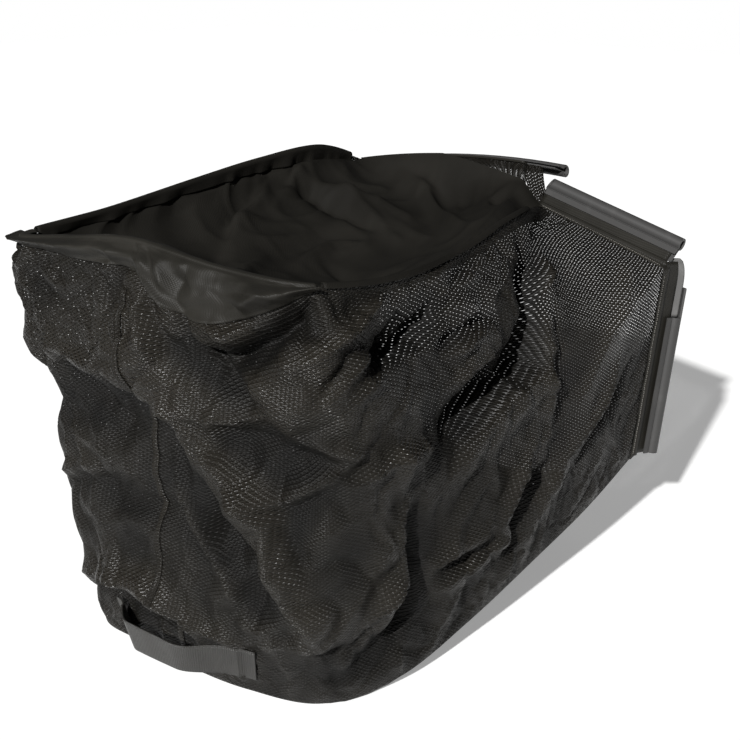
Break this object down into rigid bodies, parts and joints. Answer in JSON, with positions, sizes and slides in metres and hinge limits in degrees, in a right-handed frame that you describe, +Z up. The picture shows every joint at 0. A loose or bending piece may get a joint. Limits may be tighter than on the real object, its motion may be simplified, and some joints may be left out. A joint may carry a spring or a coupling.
{
  "type": "mower grass collection bag",
  "caption": "Soft grass collection bag: mesh walls, sagging woven dust cover, webbing grab handle and clip-on plastic bindings round an open mouth.",
  "frame": {"origin": "middle of the footprint, on the floor", "axes": "+X towards the open mouth, +Y towards the side that is far in the picture, +Z up"},
  "size_m": [0.5866, 0.4284, 0.4221],
  "materials": {
    "knit_mesh": "open knitted mesh, slight gloss",
    "woven_cloth": "plain woven, soft sheen",
    "coated_cloth": "coated woven",
    "hem_cloth": "folded and stitched",
    "webbing": "ribbed webbing",
    "binding_plastic": "extruded, satin"
  },
  "bodies": {
    "root": {"mesh_wall_near": "knit_mesh", "mesh_wall_far": "knit_mesh", "bottom_panel": "coated_cloth", "dust_cover": "woven_cloth", "rear_band": "woven_cloth", "rear_seam_tape": "hem_cloth", "rim_tape_near": "hem_cloth", "rim_tape_far": "hem_cloth", "grab_handle": "webbing", "hem_side_near": "hem_cloth", "hem_shoulder": "hem_cloth", "hem_top": "hem_cloth", "hem_side_far": "hem_cloth", "hem_bottom": "hem_cloth", "binding_side_near": "binding_plastic", "binding_shoulder": "binding_plastic", "binding_top": "binding_plastic", "binding_side_far": "binding_plastic", "binding_bottom": "binding_plastic"}
  },
  "joints": []
}
